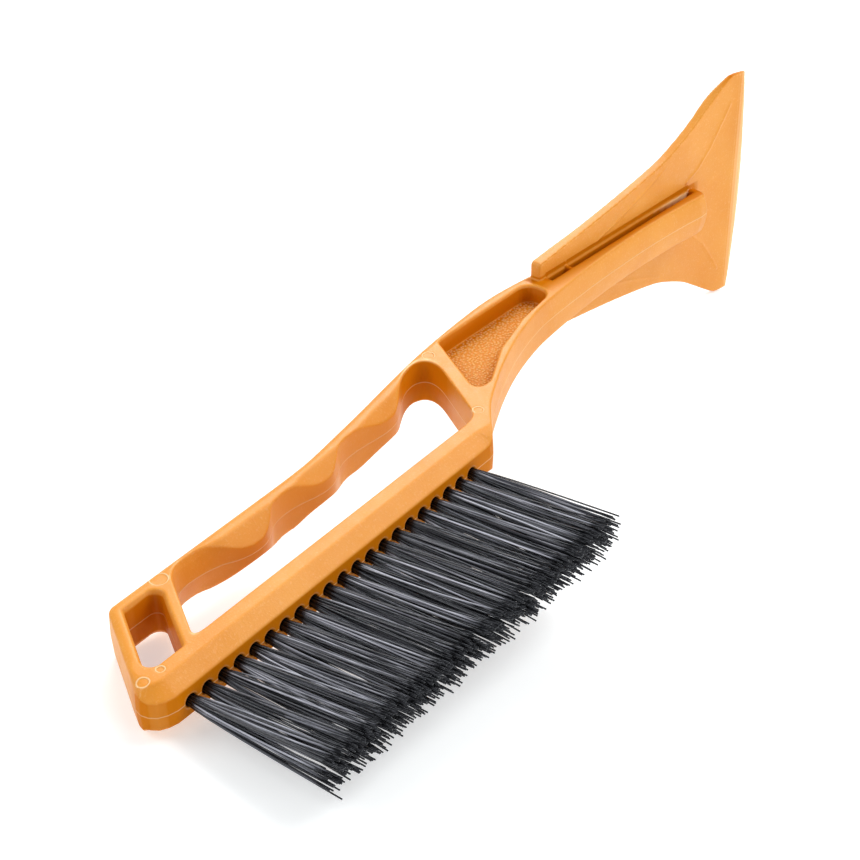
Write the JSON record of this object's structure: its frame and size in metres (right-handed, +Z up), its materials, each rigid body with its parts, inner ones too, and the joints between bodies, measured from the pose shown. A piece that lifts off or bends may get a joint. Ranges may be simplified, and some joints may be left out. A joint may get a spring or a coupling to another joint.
{
  "type": "windshield ice scraper",
  "caption": "One-piece plastic windshield ice scraper: open hand grip with finger bumps, a fan-shaped scraping blade at one end and a row of bristle tufts for snow along the grip.",
  "frame": {"origin": "centre of the bounding box's base, on the surface the tool lies on; it rests on both lower corners of its hand end and on the lower corner of its blade", "axes": "+X along the tool from the hand end to the blade, +Y from the bristle tips to the outer rail of the grip, +Z up"},
  "size_m": [0.342, 0.097, 0.0909],
  "materials": {
    "orange_plastic": "moulded orange polypropylene, satin, with faint flow marks and a fine pebble in the recesses",
    "black_filament": "black polypropylene monofilament, straight and cut square",
    "staple_wire": "flat galvanised anchor wire, plain"
  },
  "bodies": {
    "root": {"body": "orange_plastic", "tuft_01": "black_filament", "staple_01": "staple_wire", "tuft_02": "black_filament", "staple_02": "staple_wire", "tuft_03": "black_filament", "staple_03": "staple_wire", "tuft_04": "black_filament", "staple_04": "staple_wire", "tuft_05": "black_filament", "staple_05": "staple_wire", "tuft_06": "black_filament", "staple_06": "staple_wire", "tuft_07": "black_filament", "staple_07": "staple_wire", "tuft_08": "black_filament", "staple_08": "staple_wire", "tuft_09": "black_filament", "staple_09": "staple_wire", "tuft_10": "black_filament", "staple_10": "staple_wire", "tuft_11": "black_filament", "staple_11": "staple_wire", "tuft_12": "black_filament", "staple_12": "staple_wire", "tuft_13": "black_filament", "staple_13": "staple_wire", "tuft_14": "black_filament", "staple_14": "staple_wire", "tuft_15": "black_filament", "staple_15": "staple_wire", "tuft_16": "black_filament", "staple_16": "staple_wire", "tuft_17": "black_filament", "staple_17": "staple_wire", "tuft_18": "black_filament", "staple_18": "staple_wire", "tuft_19": "black_filament", "staple_19": "staple_wire", "tuft_20": "black_filament", "staple_20": "staple_wire", "tuft_21": "black_filament", "staple_21": "staple_wire"}
  },
  "joints": []
}
